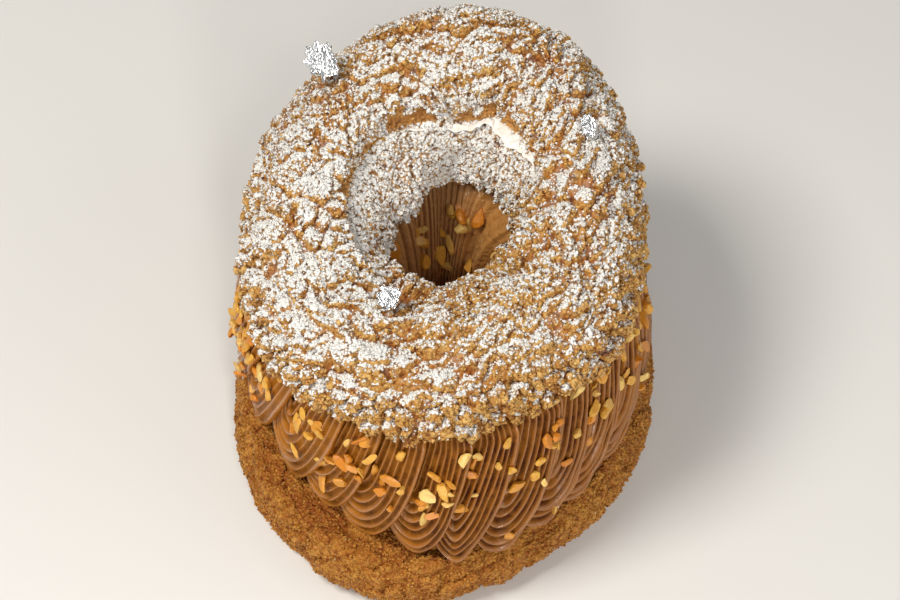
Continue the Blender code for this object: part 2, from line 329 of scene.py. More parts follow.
def crust_finish(name, tan, gold, choux, crevice_shade, sugar, gap_shade):
    """Baked sugar crust: tan grain tops, golden sides, choux in the cracks, and icing sugar on top.

    dust is how much sugar lies on a spot, depth how far it is below the grain tops, and crack how far
    it is into a crack. The deeper a spot, the darker it is painted, down to the crevice colour: painted
    shade. Sugar lies on the tops of pebbles finer than a grain, so it breaks into specks where there is
    little of it. The last argument sets how dark the joints between those pebbles are painted, as shade."""
    crust = Finish(name)
    dust, depth, crack = (crust.value(label) for label in ("dust", "depth", "crack"))
    fine = crust.noise(FINE_GRAIN, 4.0, 0.68)
    coarse = crust.noise(COARSE_GRAIN, 3.0, 0.6)
    speck = crust.noise(FINE_GRAIN, 3.0, 0.7)
    pebble = crust.cells(PEBBLES)
    # The colour darkens with depth from tan tops to gold and then to the crevice colour: painted shade in
    # the hollows
    hollow = crust.maths("ADD", depth, crust.weighted(fine, 0.5, 1.3))
    colour = crust.blend(crust.span(hollow, 0.10, 0.62), tan, gold)
    colour = crust.blend(crust.span(hollow, 0.50, 1.10), colour, crevice_shade)
    colour = crust.blend(crust.span(coarse, 0.42, 0.66, 0.0, 0.35), colour, choux)
    colour = crust.blend(crust.maths("MULTIPLY", crack, 0.75), colour, choux)
    level = crust.maths("ADD", dust, crust.weighted(speck, 0.5, 1.0))
    level = crust.maths("SUBTRACT", level, crust.weighted(pebble, 0.4, 1.35))
    level = crust.maths("SUBTRACT", level, crust.maths("MULTIPLY", depth, 0.30))
    level = crust.maths("SUBTRACT", level, crust.maths("MULTIPLY", crack, 0.45))
    veil = crust.span(dust, 0.15, 0.75, 0.0, 0.12)
    powder = crust.maths("MAXIMUM", crust.span(level, 0.24, 0.44), veil)
    colour = crust.blend(powder, colour, sugar)
    # Joints between pebbles darkened towards the crevice colour: painted shade
    between = crust.maths("ADD", pebble, crust.maths("MULTIPLY", fine, 0.35))
    colour = crust.blend(crust.span(between, 0.78, 0.98, 0.0, gap_shade), colour, crevice_shade)
    rough = crust.span(powder, 0.0, 1.0, 0.52, 0.9)
    height = crust.maths("ADD", crust.maths("MULTIPLY", fine, 0.6), crust.maths("MULTIPLY", pebble, -1.2))
    height = crust.maths("ADD", height, crust.maths("MULTIPLY", powder, 0.25))
    crust.raised(height, 0.0007, 1.0)
    crust.shader.inputs["Specular IOR Level"].default_value = 0.35
    return crust.surface(Base_Color=colour, Roughness=rough)


# The fourth colour is painted into the base crust's hollows as shade, and the last number is how dark its
# pebble joints are painted
BASE_CRUST = crust_finish("base_crust_finish", tone(200, 140, 60), tone(172, 106, 36),
                          tone(148, 78, 24), tone(112, 56, 18), tone(240, 216, 170), 0.20)

base_tubes = even_tubes(base_surface, BASE_LINES[1], *BASE_FINE_TUBES, BASE_THIN)
base_turn, base_tube, base_skin = ring_grid(base_surface, BASE_LINES[0], base_tubes)
base_normal = outward(base_skin)
base_travel = section_travel(base_skin)
base_crack, base_knob, base_lump, base_plate = crackled(
    base_skin, base_turn, base_travel, BASE_PLATES, BASE_GRAIN, 300)
base_degrees = np.degrees(base_tube)
base_side = smooth_step(-80, -62, base_degrees) * (1 - smooth_step(60, 84, base_degrees))
# The side's crust fades to smoother, redder choux on the shoulder under the cream
base_shoulder = 0.45 * smooth_step(*SHOULDER_HEIGHTS, base_skin[..., 2] + 0.0014 * base_lump)
base_rise = BASE_KNOB_RISE * base_knob * (1.0 - 0.6 * base_shoulder)
base_rise = base_rise - BASE_CRACK_DEPTH * base_crack * (1.0 - 0.5 * base_shoulder)
base_rise = base_rise + BASE_LUMP_RISE * base_lump + BASE_PLATE_RISE * base_plate - BASE_SUNK
base_skin = base_skin + base_normal * (base_rise * base_side)[..., None]
base_skin[..., 2] = np.maximum(base_skin[..., 2], 0.0)
# depth makes the hollows between grains darker through the crust finish: painted shade
make_piece(
    "choux_base_crust", base_skin.reshape(-1, 3), ring_faces(*BASE_LINES),
    {"dust": -0.35 - 0.3 * base_shoulder, "depth": 1.0 - base_knob * (1.0 - 0.6 * base_shoulder),
     "crack": np.maximum(base_crack * base_side, 0.75 * base_shoulder)},
    BASE_CRUST, ["choux_base"])

# ---------------------------------------------------------------------------------------------------
# Praline cream
# Hazelnut praline cream, piped with a wide star nozzle in loops that go down the side of the ring,
# turn at the base and climb again. Each loop lies on the foot of the next, and its ridges nest.
# ---------------------------------------------------------------------------------------------------
CREAM_LEAN = math.radians(2)
CREAM_FOOT_CENTRE = (0.0001, 0.0010)
CREAM_TOP_CENTRE = (-0.0012, 0.0030)
CREAM_FULLNESS = (1.18, 1.05)    # at the foot and at the top
CREAM_RADII = (0.0478, 0.0574)
CREAM_TOP_RADII = (0.0440, 0.0530)
CREAM_HOLE_RADII = (0.0088, 0.0096)
CREAM_HOLE_TOP_RADII = (0.0140, 0.0162)
CREAM_BULGE = 0.0014
ROPE_COUNT = 26
ROPE_PITCH = 2 * math.pi / ROPE_COUNT
ROPE_RIDGES = 8                  # ridges that the nozzle's teeth leave across one rope
RIDGE_LINES = 7                  # mesh lines across one ridge
ROPE_LINES = 58                  # mesh lines along one rope
LOOP_REACH = (0.95, 0.88)        # how far a loop swings left and right of its foot, in rope widths
LOOP_LEAN = 0.72                 # and how far it leans right on its way up
LOOP_HEIGHT = 0.0240             # from the foot up to the point that the ridges turn about
LEFT_SHARE, OVER_SHARE = 0.22, 0.92   # shares of a rope before its foot and before the lid's rim
ROPE_UNEVEN = (0.11, 0.06, 0.05) # how much ropes differ in place, reach and the height of the foot
TURN_LEVELS = (0.72, 0.035)      # mean height and spread of the point that the ridges turn about
SPINE_SIDES = (-0.24, 0.08)      # where that point is, sideways of the foot, and its drift upwards
TOOTH_HEIGHTS = (0.7, 1.2)       # teeth of the nozzle that are worn and teeth that are full
ROPE_WOBBLE = 0.022
ROPE_WIDTH = 0.0124              # sideways step from one rope to the next
ROPE_THICKNESS = 0.0045
CREAM_HEIGHT = 0.0340
RIDGE_DEPTH = 0.00130
FLOW_RISE = 0.00025              # how far the cream swells and sags along a ridge
ROPE_STEP = 0.0026               # each rope lies this much proud of the next one on its right
ROPE_CROWN = 0.0007
ROPE_INSET = 0.0011
EDGE_INSET = 0.0004
EDGE_RADIUS = 0.0009
LID_TUCK = 0.0035                # how far the ropes rise behind the lid's rim
LID_TUCK_DEPTH = 0.0075          # and how far they turn in under it
GAP = 0.0003
LID_CENTRE = (-0.0011, 0.0034)
LID_SEAT = 0.0555
LID_DIP = math.radians(5)
LID_HOLE_CENTRE = (0.0009, 0.0025)


def seat_height(y):
    """The tilted plane on which the lid rests."""
    return LID_SEAT + math.tan(LID_DIP) * (y - LID_CENTRE[1])


def cream_side(turn, level):
    """Point and outward direction on the cream's side: an ellipse that bellies out and pulls in."""
    centre = [foot + (top - foot) * level for foot, top in zip(CREAM_FOOT_CENTRE, CREAM_TOP_CENTRE)]
    radii = [foot + (top - foot) * level ** 2 for foot, top in zip(CREAM_RADII, CREAM_TOP_RADII)]
    fullness = CREAM_FULLNESS[0] + (CREAM_FULLNESS[1] - CREAM_FULLNESS[0]) * level
    straight, normal = ellipse(turn, radii, centre, CREAM_LEAN, fullness)
    plan = straight + normal * (CREAM_BULGE * np.sin(math.pi * level))[..., None]
    bottom = BASE_TOP + GAP
    height = bottom + (seat_height(plan[..., 1]) - GAP - bottom) * level
    return (np.concatenate([plan, height[..., None]], axis=-1),
            np.concatenate([normal, np.zeros_like(height)[..., None]], axis=-1))


def rope_edge(along, reach_left, reach_right, turn_level):
    """The rope's free edge: a quarter ellipse from the left down to the foot, and one up to the lid.

    Given as rope widths sideways from the foot and as a level from 0 at the base to 1 at the lid."""
    sideways = np.where(along < 0.0, reach_left * np.sin(along), reach_right * np.sin(along))
    level = np.where(along < 0.0, turn_level * (1.0 - np.cos(along)), 1.0 - np.cos(along))
    return sideways, level


def rope_spine(level, turn_level):
    """Where the ridges turn: a fixed point beside the foot, and above it a line up to the lid."""
    above = np.clip((level - turn_level) / (1.0 - turn_level), 0.0, 1.0)
    return SPINE_SIDES[1] * above + SPINE_SIDES[0], np.maximum(level, turn_level)


rope_dice = np.random.default_rng(11)
shifts = rope_dice.normal(0.0, ROPE_UNEVEN[0], ROPE_COUNT)
sizes = rope_dice.normal(1.0, ROPE_UNEVEN[1], ROPE_COUNT)
lifts = rope_dice.uniform(0.0, ROPE_UNEVEN[2], ROPE_COUNT)
turn_levels = rope_dice.normal(*TURN_LEVELS, ROPE_COUNT)
swings = rope_dice.uniform(0.0, 2 * math.pi, ROPE_COUNT)
tooth = rope_dice.uniform(*TOOTH_HEIGHTS, (ROPE_COUNT, ROPE_RIDGES))

# Along a rope: from a quarter turn left of the foot, round it, up to the lid and in under its rim
position = np.linspace(0.0, 1.0, ROPE_LINES)
climb = np.clip((position - LEFT_SHARE) / (OVER_SHARE - LEFT_SHARE), 0.0, 1.0)
along_rope = np.where(position < LEFT_SHARE, (position / LEFT_SHARE - 1.0) * math.pi / 2,
                      np.arccos(1.0 - climb ** 1.35))
over_rope = np.clip((position - OVER_SHARE) / (1.0 - OVER_SHARE), 0.0, 1.0)
# Across a rope: the rounded free edge, the ridges with lines closest at the crests, and the back
edge_angles = np.radians([-90, -45, -10, 20])
fold = np.arange(ROPE_RIDGES * RIDGE_LINES + 1) / RIDGE_LINES
in_fold = np.mod(fold, 1.0)
ridge_steps = (np.floor(fold) + 0.5 * in_fold + 0.25 * (1.0 - np.cos(math.pi * in_fold)))
ridge_steps = ridge_steps / ROPE_RIDGES

rope, along, cross = np.broadcast_arrays(np.arange(ROPE_COUNT)[:, None, None], along_rope[None, :, None],
                                         ridge_steps[None, None, :])
over = over_rope[None, :, None]
turn_level = turn_levels[rope]
edge_side, edge_level = rope_edge(along, LOOP_REACH[0], LOOP_REACH[1] * sizes[rope], turn_level)
edge_level = lifts[rope] + (1.0 - lifts[rope]) * edge_level
spine_side, spine_level = rope_spine(edge_level, turn_level)
wobble = ROPE_WOBBLE * np.sin(3.0 * along + swings[rope]) * np.sin(math.pi * cross)
side = edge_side + (spine_side - edge_side) * (cross + wobble)
level = edge_level + (spine_level - edge_level) * (cross + wobble)
foot_turn = -math.pi / 2 + (rope + shifts[rope]) * ROPE_PITCH
up_side = np.clip(level, 0.0, 1.0)
loop_lean = LOOP_LEAN * up_side ** 1.3
wall, rope_away = cream_side(foot_turn + (side + loop_lean) * ROPE_PITCH, up_side)
# Sharp crests with round valleys between: each is as high as its tooth, and lower where they crowd
nearest_tooth = np.minimum(np.rint(cross * ROPE_RIDGES).astype(int), ROPE_RIDGES - 1)
ridge = np.abs(2.0 * np.mod(cross * ROPE_RIDGES, 1.0) - 1.0) ** 2.0 * tooth[rope, nearest_tooth]
bunched = np.hypot((spine_side - edge_side) * ROPE_WIDTH, (spine_level - edge_level) * CREAM_HEIGHT)
bunched = np.clip(bunched / LOOP_HEIGHT, 0.35, 1.15)
flow = soft_noise(np.stack([side * 2.2 + 3.1 * rope, level * 7.0, cross * 9.0], axis=-1), 1.0, 70)
free_side = LOOP_REACH[1] * np.sqrt(np.clip(1.0 - (1.0 - up_side) ** 2, 0.0, 1.0))
seen = (side > free_side - 0.90) & (side < free_side - 0.02) & (over < 0.01) & (level > 0.04)
stand = ROPE_STEP * (side - free_side + 0.60) + RIDGE_DEPTH * bunched * ridge * (1.0 + 0.25 * flow)
stand = stand + FLOW_RISE * flow
stand = stand + ROPE_CROWN * np.sin(math.pi * np.clip(cross * 1.25, 0.0, 1.0))
stand = stand - ROPE_INSET - EDGE_INSET * (1.0 - smooth_step(0.0, 0.06, cross))
stand = stand - LID_TUCK_DEPTH * over ** 1.6
rope_top = wall + rope_away * stand[..., None]
rope_top[..., 2] += LID_TUCK * np.sin(over * math.pi / 2)
# The free edge: a small arc that starts beside the first ridge and turns under it
free = rope_top[:, :, :1] - rope_top[:, :, 2:3]
free = free / np.maximum(np.linalg.norm(free, axis=-1, keepdims=True), 1e-9)
arc_out = free * (EDGE_RADIUS * np.cos(edge_angles))[None, None, :, None]
arc_up = rope_away[:, :, :1] * (1.6 * EDGE_RADIUS * (np.sin(edge_angles) - 1.0))[None, None, :, None]
back_lines = [ROPE_RIDGES * RIDGE_LINES, ROPE_RIDGES * RIDGE_LINES // 2, 0]
back = rope_top[:, :, back_lines] - rope_away[:, :, back_lines] * ROPE_THICKNESS
ropes = np.concatenate([rope_top[:, :, :1] + arc_out + arc_up, rope_top, back], axis=2)
ropes[..., 2] = np.maximum(ropes[..., 2], BASE_TOP + 0.0001)
ridge_value = np.concatenate([np.full(arc_out.shape[:3], 0.4), ridge, np.zeros(back.shape[:3])], axis=2)
sections = ropes.shape[2]
for end in (0, -1):
    middle = ropes[:, end].mean(axis=1, keepdims=True)
    ropes[:, end] = middle + (ropes[:, end] - middle) * 0.02
here = np.arange(ROPE_COUNT * ROPE_LINES * sections).reshape(ROPE_COUNT, ROPE_LINES, sections)
beside = np.roll(here, -1, 2)
rope_faces = np.stack([here[:, :-1], beside[:, :-1], beside[:, 1:], here[:, 1:]], axis=-1).reshape(-1, 4)

cream = Finish("praline_cream_finish")
ridge_share = cream.value("ridge")
painted_light_side = cream.value("painted_light_side")
streak = cream.noise(260.0, 4.0, 0.6)
tiny = cream.noise(1700.0, 3.0, 0.6)
# Darker valleys and lighter crests: painted shade in the valleys and painted light on the crests
cream_colour = cream.blend(cream.span(ridge_share, 0.0, 0.75), tone(66, 30, 8), tone(148, 92, 36))
cream_colour = cream.blend(cream.span(streak, 0.35, 0.72, 0.0, 0.4), cream_colour, tone(178, 114, 44))
# More golden towards the left: painted light where the key lamp falls
cream_colour = cream.blend(cream.maths("MULTIPLY", painted_light_side, 0.35), cream_colour, tone(202, 128, 40))
rough = cream.maths("ADD", cream.span(streak, 0.3, 0.7, 0.12, 0.24),
                    cream.span(ridge_share, 0.0, 0.6, 0.25, 0.0))
gloss = cream.span(ridge_share, 0.20, 0.90, 0.06, 0.55)
grain = cream.maths("ADD", cream.maths("MULTIPLY", streak, 0.5), cream.maths("MULTIPLY", tiny, 0.5))
cream.raised(grain, 0.00035, 0.6)
cream.feed(cream.shader.inputs["Specular IOR Level"], gloss)
# A film of fat on the crests, beaded, catches the light in small glints
beads = cream.node("ShaderNodeBump")
beads.inputs["Distance"].default_value = 0.0004
cream.feed(beads.inputs["Height"], cream.noise(900.0, 4.0, 0.75))
cream.feed(cream.shader.inputs["Coat Normal"], beads.outputs[0])
cream.feed(cream.shader.inputs["Coat Weight"], cream.span(ridge_share, 0.45, 0.90, 0.0, 0.8))
cream.shader.inputs["Coat Roughness"].default_value = 0.12
cream.shader.inputs["Subsurface Weight"].default_value = 0.08
cream.shader.inputs["Subsurface Radius"].default_value = (0.004, 0.002, 0.001)
cream.shader.inputs["Subsurface Scale"].default_value = 1.0
CREAM = cream.surface(Base_Color=cream_colour, Roughness=rough)

# The cream is painted more golden towards the left of the pastry, where the key lamp falls: painted light
make_piece("praline_ropes", ropes.reshape(-1, 3), rope_faces,
           {"ridge": ridge_value, "painted_light_side": smooth_step(0.010, -0.045, ropes[..., 0])},
           CREAM, ["praline_cream"])

# The core under the ropes, and the ridged wall that the loops leave down the hole
CORE_LINES = (540, 96)
CORE_HEIGHT = 0.038
CORE_BOXED = (0.4, 0.85)         # how boxed its section is, across and up
CORE_INSET = 0.0030
HOLE_RIDGES = 58
HOLE_RIDGE_DEPTH = 0.00100
HOLE_BUNDLES = 11                # the ridges run in bundles
HOLE_BUNDLE_DEPTH = 0.0011


def hole_lean(turn, level):
    """The turn that a spot's ridge has at half height: ridges lean and sweep round down the hole."""
    lean = turn + 0.35 * (level - 0.5) - 0.7 * (1.0 - level) * np.cos(turn)
    return lean + 0.22 * np.sin(3 * turn + 0.8) * (level - 0.5)


def hole_ridges(lean):
    """Sharp valleys between round ridges, crowded here and spread there."""
    return np.abs(np.sin(0.5 * HOLE_RIDGES * lean + 1.1 * np.sin(3 * lean + 1.0))) ** 0.7


def core_surface(turn, tube):
    """The cream's ring inside its ropes; down the hole it narrows, with nozzle ridges that lean."""
    level = np.clip(0.5 + 0.56 * rounded(np.sin(tube), CORE_BOXED[1]), 0.0, 1.0)
    side = rounded(np.cos(tube), CORE_BOXED[0])
    outer, normal = cream_side(turn, level)
    outer = outer[..., :2] - normal[..., :2] * CORE_INSET
    low, _ = ellipse(turn, CREAM_HOLE_RADII, HOLE_CENTRE, CREAM_LEAN)
    high, out = ellipse(turn, CREAM_HOLE_TOP_RADII, LID_HOLE_CENTRE, CREAM_LEAN)
    hole = across(low, high, level ** 1.2)
    lean = hole_lean(turn, level)
    bundle = np.sin(lean * HOLE_BUNDLES + 1.3 * np.sin(2 * lean))
    rise = HOLE_RIDGE_DEPTH * hole_ridges(lean) + HOLE_BUNDLE_DEPTH * bundle
    hole = hole - out * (rise * (side < 0))[..., None]
    plan = across(hole, outer, 0.5 + 0.5 * side)
    bottom = BASE_TOP + GAP
    return plan, bottom + (seat_height(plan[..., 1]) - GAP - bottom) * level


core_tubes = np.linspace(-math.pi, math.pi, CORE_LINES[1], endpoint=False)
core_turn, core_tube, core_skin = ring_grid(core_surface, CORE_LINES[0], core_tubes)
core_level = (core_skin[..., 2] - BASE_TOP) / CORE_HEIGHT
core_ridge = hole_ridges(hole_lean(core_turn, core_level))
# Light thrown from wall to wall deepens the colour, so the wall is a paler, glossier copy of the cream:
# painted light against the shade down the hole
wall_cream = Finish("praline_wall_finish")
wall_ridge = wall_cream.value("ridge")
wall_streak = wall_cream.noise(420.0, 4.0, 0.65)
# Darker valleys and paler crests on the wall: painted shade in the valleys
wall_colour = wall_cream.blend(wall_cream.span(wall_ridge, 0.15, 0.95), tone(156, 108, 66),
                               tone(206, 154, 100))
# More orange towards the right, where the key lamp lights the wall: painted light
wall_colour = wall_cream.blend(wall_cream.value("painted_light_side"), wall_colour, tone(182, 126, 62))
wall_cream.raised(wall_streak, 0.0010, 1.0)
wall_gloss = wall_cream.span(wall_ridge, 0.3, 0.9, 0.2, 0.9)
wall_cream.feed(wall_cream.shader.inputs["Specular IOR Level"], wall_gloss)
WALL_CREAM = wall_cream.surface(Base_Color=wall_colour, Roughness=0.2)

make_piece("praline_core", core_skin.reshape(-1, 3), ring_faces(*CORE_LINES),
           {"ridge": core_ridge, "painted_light_side": 0.7 * smooth_step(0.000, 0.012, core_skin[..., 0])},
           WALL_CREAM, ["praline_cream"])

# ---------------------------------------------------------------------------------------------------
# Choux lid
# The upper half of the ring, lifted off to pipe the cream and set back on it. Its sugar crust broke
# into plates and grains over the choux, and round the hole the paste burst into a lower collar.
# ---------------------------------------------------------------------------------------------------
LID_LEAN = math.radians(-2)
LID_FULLNESS = 0.88
LID_RADII = (0.0455, 0.0528)
LID_HOLE_RADII = (0.0130, 0.0161)
LID_HOLE_LEAN = math.radians(-30)
LID_BACK_SHIFT = 0.0057          # how far the back half bulges to the right
LID_WAVES = (0.0006, 0.0005)     # the outline swings by these in three and in five waves
LID_DENTS = (                    # dents in the outline: direction, half width and depth
    (math.radians(143), math.radians(24), 0.0035),
    (math.radians(-66), math.radians(16), 0.0030),
    (math.radians(-33), math.radians(16), -0.0016),
)
LID_RIM = 0.0041
LID_DOME = 0.0221
LID_BACK_RISE = 0.36             # share by which the dome is taller behind and lower in front
DOME_WAVE = 0.0007
COLLAR_WIDTH = (0.267, 0.130, 0.234)   # left, behind and right, in shares of hole to outer edge
COLLAR_EASE = 0.8                # how gently its width changes between those
COLLAR_CORNER = (math.radians(66), math.radians(11), 0.030)   # where it juts out, how wide, how far
COLLAR_DROP = 0.0040             # step down from the dome, and slope from there to the hole
COLLAR_SLOPE = 0.0055
COLLAR_STEP = math.radians(4)
COLLAR_MIDDLE = math.radians(108)
COLLAR_REACH = (math.radians(88), math.radians(122))   # whole within the first, gone past the second
CREASE_LINES = (math.radians(100), math.radians(120))
LID_LINES = (600, 166)           # mesh lines round the ring and round its section
LID_FINE_TUBES = (-25, 180)      # degrees round the section where mesh lines are close
LID_THIN = 0.22
LID_GRAIN = 0.00130              # width of a crust grain
LID_PLATES = (36, 0.0046)        # crust plates round the ring, and their width from hole to edge
WRINKLE_WIDTH = 0.0042
TERRACE_WIDTH = 0.0062
CHUNK_SIZE = 0.0042
KNOB_RISE = 0.00056              # what each part of the relief stands up
LUMP_RISE = 0.00035
PLATE_RISE = 0.00055
TERRACE_RISE = 0.00135
CHUNK_RISE = 0.00185
CRACK_DEPTH = 0.00180            # and how deep cracks are, and how much deeper between clods
CLOD_CRACK_DEPTH = 0.0004
LID_SUNK = 0.0010                # the relief starts this far inside the solid
TEAR_SWINGS = (0.0013, 0.0011)   # how far the hole's torn edge swings in broad and fine bits
TEAR_SIZES = (0.0042, 0.0017)
TEAR_RADIUS = 0.016              # of the circle on which that noise is read
TEAR_TONGUE = (math.radians(143), 0.55, 0.0030)        # a tongue of crust over the hole's edge
BARE_FROM, BARE_TO = (109, 112), (113, 117)            # degrees round the section of the bare band
RAGGED = ((8.0, 0.0075), (6.0, 0.0024))   # its ragged edge: degrees up and down, and size, twice
RIM_AT, RIM_WIDTH = 122.0, 4.5   # degrees round the section of the crease's sugared edge
SUGAR_FALL = (-0.10, 0.14, 0.98)       # the way that sugar lies best
SUGAR_LODGE = (-0.15, 0.75, 0.60)      # and the side of each lump that holds it


def lid_share(tube, crease):
    """Share of the way from the hole to the outer edge, with mesh lines close along the crease."""
    first, second = CREASE_LINES
    before, after = crease - COLLAR_STEP, crease + COLLAR_STEP
    bend = np.where(tube < first, tube / first * before,
                    before + (tube - first) / (second - first) * (after - before))
    foot = 0.5 + 0.5 * np.cos(after)
    into = np.clip((tube - second) / (math.pi - second), 0.0, 1.0)
    share = np.where(tube > second, foot * (1.0 - into) ** 1.5, 0.5 + 0.5 * np.cos(bend))
    return np.where(tube > 0.0, share, 0.5 + 0.5 * np.cos(tube)), foot


def lid_surface(turn, tube):
    """A domed ring with a flat underside and, round the hole, a burst collar that lies lower."""
    uneven = LID_WAVES[0] * np.sin(3 * turn + 0.4) + LID_WAVES[1] * np.sin(5 * turn + 1.9)
    outer, normal = ellipse(turn, LID_RADII, LID_CENTRE, LID_LEAN, LID_FULLNESS)
    for middle, width, depth in LID_DENTS:
        uneven = uneven - depth * np.exp(-(apart(turn, middle) / width) ** 2)
    outer = outer + normal * uneven[..., None]
    outer[..., 0] += LID_BACK_SHIFT * np.maximum(np.sin(turn), 0.0) ** 2
    hole, _ = ellipse(turn + LID_LEAN - LID_HOLE_LEAN, LID_HOLE_RADII, LID_HOLE_CENTRE, LID_HOLE_LEAN)
    left, behind, right = COLLAR_WIDTH
    sideways = np.where(np.cos(turn) < 0.0, left, right) - behind
    full_swing = math.hypot(1.0, COLLAR_EASE) - COLLAR_EASE
    swing = (np.hypot(np.cos(turn), COLLAR_EASE) - COLLAR_EASE) / full_swing
    middle, width, jut = COLLAR_CORNER
    jut = jut * np.exp(-(apart(turn, middle) / width) ** 2)
    crease = np.arccos(2.0 * (behind + sideways * swing + jut) - 1.0)
    share, foot = lid_share(tube, crease)
    plan = across(hole, outer, share)
    dome = LID_DOME * (1.0 + LID_BACK_RISE * np.sin(turn)) + DOME_WAVE * np.sin(4 * turn + 0.9)
    domed = dome * np.sqrt(1.0 - (2.0 * share - 1.0) ** 2)
    ledge = dome * np.sqrt(1.0 - (2.0 * foot - 1.0) ** 2) - COLLAR_DROP
    inward = np.clip(1.0 - share / foot, 0.0, 1.0)
    collar = (ledge - COLLAR_SLOPE * inward) * np.sqrt(1.0 - inward ** 4)
    opened = 1.0 - smooth_step(*COLLAR_REACH, apart(turn, COLLAR_MIDDLE))
    inside = smooth_step(*CREASE_LINES, tube)
    upper = domed + (collar - domed) * opened * inside
    lower = 1.25 * LID_RIM * np.sin(tube)
    height = LID_RIM + np.where(tube > 0.0, upper, lower)
    return plan, seat_height(plan[..., 1]) + np.maximum(height, 0.0)


# The fourth colour is painted into the lid crust's hollows as shade, and the last number is how dark its
# pebble joints are painted
LID_CRUST = crust_finish("lid_crust_finish", tone(230, 184, 108), tone(200, 140, 64),
                         tone(166, 92, 36), tone(90, 50, 20), tone(255, 254, 250), 0.62)

lid_tubes = even_tubes(lid_surface, LID_LINES[1], *LID_FINE_TUBES, LID_THIN)
lid_turn, lid_tube, lid_skin = ring_grid(lid_surface, LID_LINES[0], lid_tubes)
lid_degrees = np.degrees(lid_tube)
# The hole's edge is torn: it swings in and out by a millimetre or two, and a tongue hangs over it
torn_share = smooth_step(146, 172, np.abs(lid_degrees))
edge_spots = np.stack([np.cos(lid_turn), np.sin(lid_turn), np.zeros_like(lid_turn)], axis=-1) * TEAR_RADIUS
tear = TEAR_SWINGS[0] * soft_noise(edge_spots, TEAR_SIZES[0], 95)
tear = tear + TEAR_SWINGS[1] * soft_noise(edge_spots, TEAR_SIZES[1], 96)
tongue_at, tongue_width, tongue_reach = TEAR_TONGUE
tear = tear + tongue_reach * np.exp(-(apart(lid_turn, tongue_at) / tongue_width) ** 2)
to_hole = np.array(LID_HOLE_CENTRE) - lid_skin[..., :2]
to_hole = to_hole / np.linalg.norm(to_hole, axis=-1, keepdims=True)
lid_skin[..., :2] += to_hole * (tear * torn_share)[..., None]
lid_normal = outward(lid_skin)
lid_travel = section_travel(lid_skin)
crack, knob, lump, plate = crackled(lid_skin, lid_turn, lid_travel, LID_PLATES, LID_GRAIN, 500)
crust_here = np.maximum(smooth_step(-40, -12, lid_degrees), smooth_step(156, 166, -lid_degrees))
collar_open = 1.0 - smooth_step(*COLLAR_REACH, apart(lid_turn, COLLAR_MIDDLE))
# Wrinkles that run round the ring: valleys where noise, drawn out along the ring, passes zero
drawn_out = np.stack([4.0 * np.cos(lid_turn), 4.0 * np.sin(lid_turn), lid_travel / WRINKLE_WIDTH], axis=-1)
wave = soft_noise(drawn_out, 1.0, 520) + 0.55 * soft_noise(drawn_out, 0.45, 521)
wrinkle = 1.0 - smooth_step(0.03, 0.24, np.abs(wave))
wrinkle = wrinkle * smooth_step(-0.5, 0.3, soft_noise(lid_skin, 0.013, 522))
# Broad terraces that also run round the ring
spread = np.stack([3.2 * np.cos(lid_turn), 3.2 * np.sin(lid_turn), lid_travel / TERRACE_WIDTH], axis=-1)
terrace = soft_noise(spread, 1.0, 530) + 0.4 * soft_noise(spread, 0.5, 531)
terrace = terrace * (1.0 - 0.6 * collar_open * smooth_step(96, 106, lid_degrees))
# The bare inner face of the dome shows in stretches, between the crust's torn edge and the collar
(ragged_broad, broad_size), (ragged_fine, fine_size) = RAGGED
ragged = ragged_broad * soft_noise(lid_skin, broad_size, 97)
ragged = ragged + ragged_fine * soft_noise(lid_skin, fine_size, 98)
bare = collar_open * smooth_step(*BARE_FROM, lid_degrees + ragged)
bare = bare * (1 - smooth_step(*BARE_TO, lid_degrees))
crusted = crust_here * (1.0 - 0.85 * bare)
on_collar = collar_open * smooth_step(112, 122, lid_degrees)
# Along the lower edge the crust is broken into clods
low_edge = crust_here * (1.0 - smooth_step(16, 40, lid_degrees + 7.0 * lump)) * (lid_degrees > -90)
near_chunk, next_chunk, chunk_size = nearest_seeds(lid_skin / CHUNK_SIZE, 560)
chunk = np.sqrt(np.maximum(0.0, 1.0 - (near_chunk / 0.85) ** 2)) * (0.5 + 0.8 * chunk_size)
gap = 1.0 - smooth_step(0.03, 0.20, next_chunk - near_chunk)
crack = crack * (1.0 - 0.5 * on_collar) * (1.0 - low_edge)
wrinkle = 0.85 * wrinkle * (1.0 - low_edge) * (1.0 - 0.6 * on_collar)
crack = np.maximum(crack, np.maximum(wrinkle, gap * low_edge))
coarse_rise = LUMP_RISE * lump + PLATE_RISE * plate * (1.0 - low_edge)
coarse_rise = coarse_rise + TERRACE_RISE * terrace * (1.0 - low_edge)
coarse_rise = coarse_rise - (CRACK_DEPTH + CLOD_CRACK_DEPTH * low_edge) * crack
coarse_rise = coarse_rise + CHUNK_RISE * low_edge * chunk
lid_rise = (KNOB_RISE * knob + coarse_rise) * crusted - LID_SUNK
coarse_normal = outward(lid_skin + lid_normal * (coarse_rise * crusted)[..., None])
lid_skin = lid_skin + lid_normal * lid_rise[..., None]
front = 0.5 - 0.5 * np.sin(lid_turn)
left_front = np.maximum(np.cos(lid_turn + math.radians(145)), 0.0)
# Sugar is sifted from above and a little from behind, so slopes that face the front stay bare
sifted = np.clip(coarse_normal @ np.array(SUGAR_FALL), 0.0, 1.0)
# and each lump is white on its upper side and bare on the side below
upper_side = (coarse_normal - lid_normal) @ np.array(SUGAR_LODGE)
dust = 0.48 * smooth_step(0.10, 0.92, sifted) + 0.12 + 1.0 * upper_side
dust = dust + 0.05 * soft_noise(lid_skin, 0.011, 90) + 0.06 * soft_noise(lid_skin, 0.004, 91)
